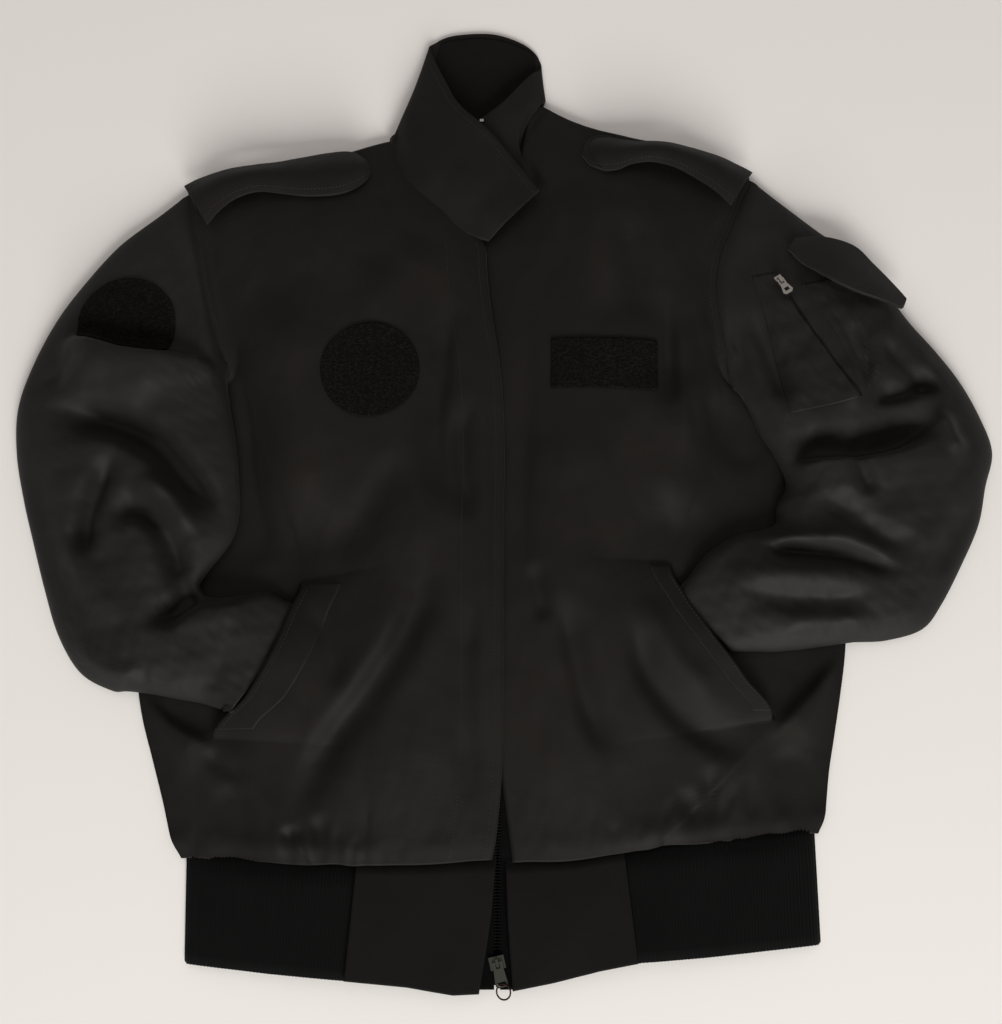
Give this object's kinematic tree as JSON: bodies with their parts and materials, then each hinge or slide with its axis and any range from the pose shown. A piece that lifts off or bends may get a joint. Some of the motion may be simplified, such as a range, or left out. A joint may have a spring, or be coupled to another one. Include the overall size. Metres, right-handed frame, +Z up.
{
  "type": "flight jacket",
  "caption": "Padded blouson jacket laid flat on its back, knit waistband, epaulettes, loop patches and zips, with both cuffs tucked in the hand pockets.",
  "frame": {"origin": "on the surface that the jacket lies on, below the middle of its bounding box", "axes": "+X across the jacket towards the wearer's left sleeve, +Y from the hem to the collar, +Z up from the surface it lies on"},
  "size_m": [0.824, 0.8336, 0.0417],
  "materials": {
    "twill_cloth": "matt twill shell cloth",
    "rib_knit": "matt rib knit",
    "lining_cloth": "matt lining cloth",
    "loop_pile": "matt loop pile",
    "zip_tape_cloth": "woven zip tape",
    "painted_zinc": "dark satin paint",
    "bright_nickel": "bright nickel plate",
    "bronze_wire": "dark bronze plated wire"
  },
  "bodies": {
    "jacket": {"back_panel": "twill_cloth", "front_r": "twill_cloth", "front_l": "twill_cloth", "pocket_bag_r": "lining_cloth", "pocket_bag_l": "lining_cloth", "pocket_welt_r": "twill_cloth", "pocket_welt_l": "twill_cloth", "sleeve_r": "twill_cloth", "sleeve_l": "twill_cloth", "cuff_r": "rib_knit", "cuff_l": "rib_knit", "collar": "twill_cloth", "collar_lining": "lining_cloth", "waist_rib": "rib_knit", "waist_tab_r": "twill_cloth", "waist_tab_l": "twill_cloth", "epaulette_r": "twill_cloth", "epaulette_l": "twill_cloth", "chest_patch": "loop_pile", "name_patch": "loop_pile", "sleeve_patch": "loop_pile", "sleeve_pocket": "twill_cloth", "pen_pocket": "twill_cloth", "pen_flap": "twill_cloth", "sleeve_slider": "bright_nickel", "zip_tape_r": "zip_tape_cloth", "zip_tape_l": "zip_tape_cloth", "zip_slider": "painted_zinc", "zip_top_stop": "bright_nickel"},
    "main_pull": {"zip_pull": "painted_zinc", "zip_ring": "bronze_wire"},
    "sleeve_pull": {"sleeve_pull": "bright_nickel"}
  },
  "joints": [
    {"name": "main_pull_hinge", "type": "hinge", "parent": "jacket", "child": "main_pull", "pos_m": [-0.005, -0.3889, 0.0115], "axis": [-0.9744, -0.225, 0], "range_deg": [0, 150]},
    {"name": "sleeve_pull_hinge", "type": "hinge", "parent": "jacket", "child": "sleeve_pull", "pos_m": [0.235, 0.1676, 0.0302], "axis": [-0.8508, -0.5255, 0], "range_deg": [0, 90]}
  ]
}
